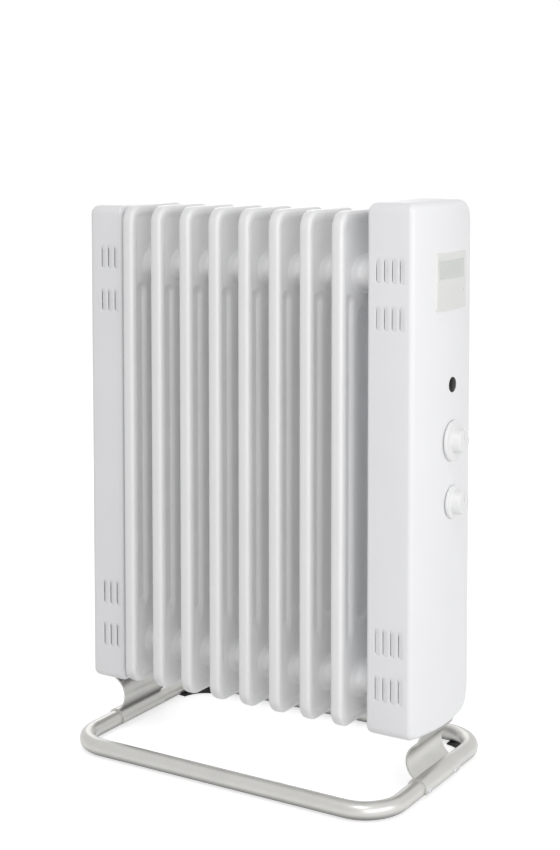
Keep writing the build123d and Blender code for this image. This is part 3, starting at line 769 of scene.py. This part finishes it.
def make_feet():
    """Soft pad under each bend of the tube, seen on the inside of the bend."""
    (cx, cy, tube_z), radius, (hx, hy) = tube_frame()
    parts = []
    for sx, sy, start in BENDS:
        verts, faces = [], []
        for i in range(PAD_STEPS + 1):
            t = i / PAD_STEPS
            a = math.radians(start + PAD_START + PAD_TURN * t)
            rise = LIP_LOW + LIP_RISE * math.sin(math.pi * t) ** 2
            ring = pad_section(tube_z, radius + PAD_CLEARANCE, rise)
            x, y = cx + sx * hx, cy + sy * hy
            verts += [(x + r * math.cos(a), y + r * math.sin(a), z) for r, z in ring]
        n = len(ring)
        for i in range(PAD_STEPS):
            for k in range(n):
                here, there, after = i * n, (i + 1) * n, (k + 1) % n
                faces.append((here + k, here + after, there + after, there + k))
        last = PAD_STEPS * n
        faces += [tuple(range(n)), tuple(reversed(range(last, last + n)))]
        parts.append((verts, faces))
    mesh = new_mesh("foot_cradles", *scaled(join(parts)), sharp=40)
    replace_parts(place("foot_cradles", mesh, "black_rubber"), "rubber_feet")


SCREW_PLACES = (-33.0, 33.0)
SCREW_HEIGHT = 9.0
SCREW_SUNK = 0.35
SCREW_PROFILE = [(-1.6, 3.4), (0.0, 3.4), (0.35, 3.2), (0.75, 2.6), (1.0, 1.6), (1.05, 0.2)]
RECESS = (1.9, 0.35)
RECESS_CUT = (0.1, 3.0)


def make_screws():
    """Pan-head screws through the outer side of each sleeve, with a crossed recess."""
    for node, out in (("left_saddle", -1), ("right_saddle", 1)):
        low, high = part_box(node)
        face = (low.x if out < 0 else high.x) / MM
        heads, level_bars, upright_bars = [], [], []
        for y in SCREW_PLACES:
            verts, faces = lathe(SCREW_PROFILE, (0, 0, 0), 36)
            verts = [(face + out * (x - SCREW_SUNK), y + vy, SCREW_HEIGHT + vz) for x, vy, vz in verts]
            heads.append((verts, faces))
            for bars, (wide, tall) in ((level_bars, RECESS), (upright_bars, RECESS[::-1])):
                outline = [(y + a * wide, SCREW_HEIGHT + b * tall) for a, b in CORNERS]
                bars.append(prism_along_x(outline, *[face + out * x for x in RECESS_CUT]))
        mesh = new_mesh("heads", *scaled(join(heads)))
        for bars in (level_bars, upright_bars):
            mesh = cut(mesh, new_mesh("recess", *scaled(join(bars))), node + "_screws")
        place(node + "_screws", mesh, "zinc_sheet")


# ---------------------------------------------------------------- controls
GRIP_RADIUS = 13.2
POINTER_RADIUS = 1.0
POINTER_DEPTH = 1.1
POINTER_FOOT = 2.0
TOOL_BEYOND = 3


def knob_profile(skirt, grip, height):
    """Points (x, radius) from the skirt's back to the middle of the grip's end."""
    return [
        (0, skirt - 0.8), (0.25, skirt - 0.25), (0.8, skirt), (2.6, skirt), (3.3, skirt - 0.3),
        (3.8, skirt - 0.9), (4.0, skirt - 1.8), (4.0, grip + 1.6), (4.15, grip + 0.8),
        (4.6, grip + 0.25), (5.4, grip), (height - 1.6, grip - 0.35), (height - 0.7, grip - 0.7),
        (height - 0.2, grip - 1.3), (height, grip - 2.2), (height - 0.15, grip * 0.5),
        (height - 0.25, 0.4),
    ]


def make_knob(node, body):
    """A knob with a flat skirt, a round grip and a pointer groove across half of its end."""
    low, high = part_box(node)
    back, height = low.x / MM, (high.x - low.x) / MM
    _, y, z = centre_of(node)
    profile = knob_profile(halves_of(node)[1], GRIP_RADIUS, height)
    mesh = new_mesh(node, *scaled(lathe(profile, (back, y, z), 96)))
    groove = []
    for i in range(13):
        a = math.radians(180 + 15 * i)
        foot = z + POINTER_FOOT + POINTER_RADIUS * math.sin(a)
        groove.append((y + POINTER_RADIUS * math.cos(a), foot))
    end = z + GRIP_RADIUS + TOOL_BEYOND
    groove += [(y + POINTER_RADIUS, end), (y - POINTER_RADIUS, end)]
    front = back + height
    tool = prism_along_x(groove, front - POINTER_DEPTH, front + TOOL_BEYOND)
    mesh = cut(mesh, new_mesh("groove", *scaled(tool)), node + "_form")
    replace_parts(place(node + "_form", mesh, "white_plastic", body), node)


CONTROL_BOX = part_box("control_cover")


def bow_at(y):
    """Place along X of the control cover's face."""
    low, high = CONTROL_BOX
    middle, half = (low.y + high.y) / 2 / MM, (high.y - low.y) / 2 / MM
    return low.x / MM + COVER_LENGTH["control_cover"] - BOW * ((y - middle) / half) ** 2


EDGE_PULL = 0.35


def grid_line(half, k, count):
    """Place of a line of a plate's grid, lines being closer together at the plate's edges."""
    t = 2 * k / count - 1
    return half * mix(t, math.sin(math.pi / 2 * t), EDGE_PULL)


def soft_plate(half_y, z_low, z_high, radius, base, height, edge, dents=()):
    """Plate with a rounded edge that follows the bow of the control cover's face.

    A dent is (y, z, half width, half height, corner radius, change of height, softness).
    """
    across, up = 56, 52
    middle_z, half_z = (z_low + z_high) / 2, (z_high - z_low) / 2

    def rise(y, z, py, pz):
        t = min(min(half_y - abs(y), half_z - abs(z)) / edge, 1)
        total = height * math.sqrt(max(1 - (1 - t) ** 2, 0))
        for dy, dz, wide, tall, corner, change, soft in dents:
            p = max(abs(py - dy) - wide + corner, 0)
            q = max(abs(pz + middle_z - dz) - tall + corner, 0)
            total += change * smooth_step(soft, -soft, math.hypot(p, q) - corner)
        return total

    verts = []
    for is_top in (False, True):
        for i in range(across + 1):
            for j in range(up + 1):
                y, z = grid_line(half_y, i, across), grid_line(half_z, j, up)
                py, pz = round_corner(y, z, half_y, half_z, radius)
                level = rise(y, z, py, pz) if is_top else 0
                verts.append((bow_at(py) + base + level, py, pz + middle_z))
    return verts, two_sided(across + 1, up + 1)


BUTTON_HEIGHT = 563.0
PLATE_SHARP = 50


def make_display():
    """The panel with a plain round button, and the window sunk into it."""
    low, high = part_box("display_panel")
    _, half_y, _ = halves_of("display_panel")
    _, wide, tall = halves_of("display_window")
    window_z = centre_of("display_window")[2]
    dents = (
        (0, window_z, wide + 0.8, tall + 0.8, 1.6, -0.9, 0.7),
        (0, BUTTON_HEIGHT, 5.0, 5.0, 1.6, 0.35, 0.5),
        (0, BUTTON_HEIGHT, 6.2, 6.2, 2.0, -0.35, 0.5),
    )
    plate = soft_plate(half_y, low.z / MM, high.z / MM, 3.5, -0.4, 2.0, 1.5, dents)
    bezel = new_mesh("display_bezel", *scaled(plate), sharp=PLATE_SHARP)
    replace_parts(place("display_bezel", bezel, "panel_plastic"), "display_panel")
    foot, head = window_z - tall + 0.4, window_z + tall - 0.4
    band = (0, window_z - tall + 4.6, wide - 3, 3.4, 0.8, -0.25, 0.35)
    glass = soft_plate(wide - 0.4, foot, head, 1.2, -2.5, 3.6, 0.5, (band,))
    pane = new_mesh("display_pane", *scaled(glass), sharp=PLATE_SHARP)
    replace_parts(place("display_pane", pane, "window_plastic"), "display_window")


def make_lens():
    """Black domed lens with a groove round it."""
    low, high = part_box("indicator_lens")
    _, radius, _ = halves_of("indicator_lens")
    _, y, z = centre_of("indicator_lens")
    depth = (high.x - low.x) / MM
    profile = [
        (0, radius - 0.4), (depth - 1.3, radius), (depth - 0.9, radius - 0.1),
        (depth - 0.7, radius - 0.5), (depth - 0.75, radius - 1.1), (depth - 0.45, radius - 1.8),
        (depth - 0.15, radius - 4), (depth, 0.3),
    ]
    mesh = new_mesh("indicator_dome", *scaled(lathe(profile, (low.x / MM, y, z), 64)))
    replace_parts(place("indicator_dome", mesh, "black_lens"), "indicator_lens")


# ---------------------------------------------------------------- floor, world and lamps
AMBIENT = 0.48
# The floor's reach in metres, its grey, and the light it adds for the rays that see the backdrop.
FLOOR_REACH = 60.0
FLOOR_GREY = 0.80
FLOOR_GLOW = 0.65


def backdrop_rays(nodes, links):
    """1 for camera, glossy and transmission rays, which see the plain white backdrop."""
    path = nodes.new("ShaderNodeLightPath")
    total = path.outputs["Is Camera Ray"]
    for kind in ("Is Glossy Ray", "Is Transmission Ray"):
        more = nodes.new("ShaderNodeMath")
        more.operation = "MAXIMUM"
        links.new(total, more.inputs[0])
        links.new(path.outputs[kind], more.inputs[1])
        total = more.outputs[0]
    return total


def make_stage():
    """Plain pale floor: it takes the object's shadow and reads white away from it."""
    corners = [(x * FLOOR_REACH, y * FLOOR_REACH, 0) for x, y in CORNERS]
    mesh = bpy.data.meshes.new("floor")
    mesh.from_pydata(corners, [], [(0, 1, 2, 3)])
    floor = plain_object("floor", mesh)
    material = bpy.data.materials.new("floor")
    material.use_nodes = True
    nodes, links = material.node_tree.nodes, material.node_tree.links
    nodes.clear()
    out = nodes.new("ShaderNodeOutputMaterial")
    diffuse = nodes.new("ShaderNodeBsdfDiffuse")
    diffuse.inputs["Color"].default_value = (FLOOR_GREY, FLOOR_GREY, FLOOR_GREY, 1)
    glow = nodes.new("ShaderNodeEmission")
    glow.inputs["Strength"].default_value = FLOOR_GLOW
    dark = nodes.new("ShaderNodeEmission")
    dark.inputs["Strength"].default_value = 0
    choose = nodes.new("ShaderNodeMixShader")
    links.new(backdrop_rays(nodes, links), choose.inputs["Fac"])
    links.new(dark.outputs[0], choose.inputs[1])
    links.new(glow.outputs[0], choose.inputs[2])
    both = nodes.new("ShaderNodeAddShader")
    links.new(diffuse.outputs[0], both.inputs[0])
    links.new(choose.outputs[0], both.inputs[1])
    links.new(both.outputs[0], out.inputs["Surface"])
    mesh.materials.append(material)


def make_world():
    """Even ambient light, with plain white behind the object."""
    world = bpy.data.worlds.new("world")
    bpy.context.scene.world = world
    world.use_nodes = True
    nodes, links = world.node_tree.nodes, world.node_tree.links
    nodes.clear()
    out = nodes.new("ShaderNodeOutputWorld")
    light = nodes.new("ShaderNodeBackground")
    light.inputs["Strength"].default_value = AMBIENT
    white = nodes.new("ShaderNodeBackground")
    mix_node = nodes.new("ShaderNodeMixShader")
    for background in (light, white):
        background.inputs["Color"].default_value = (1, 1, 1, 1)
    white.inputs["Strength"].default_value = 1.0
    links.new(backdrop_rays(nodes, links), mix_node.inputs["Fac"])
    links.new(light.outputs[0], mix_node.inputs[1])
    links.new(white.outputs[0], mix_node.inputs[2])
    links.new(mix_node.outputs[0], out.inputs["Surface"])


def lamp(name, position, target, size, power):
    """Soft square lamp; places and size in metres, power in watts."""
    data = bpy.data.lights.new(name, "AREA")
    data.shape = "SQUARE"
    data.size = size
    data.energy = power
    obj = bpy.data.objects.new(name, data)
    obj.location = position
    aim = Vector(target) - Vector(position)
    obj.rotation_euler = aim.to_track_quat("-Z", "Y").to_euler()
    bpy.context.scene.collection.objects.link(obj)


make_camera()
dress_cad()
make_fins()
make_cover("left_end_cover", -1, [])
make_cover("control_cover", 1, control_cover_holes())
make_stand()
make_knob("selector_knob", "selector_dial")
make_knob("thermostat_knob", "thermostat_dial")
make_display()
make_lens()
make_screws()
make_feet()
make_stage()
make_world()
lamp("top", (0.6, -1.5, 2.6), (0, 0, 0.4), 1.0, 14)
lamp("fill", (1.65, -1.55, 0.70), (0.05, 0, 0.35), 1.2, 10)
lamp("side", (2.6, -0.4, 0.9), (0.2, 0, 0.35), 1.4, 13)
lamp("back", (-1.7, 2.0, 1.6), (0, 0, 0.35), 1.6, 9)
bpy.context.scene.view_settings.view_transform = "Standard"
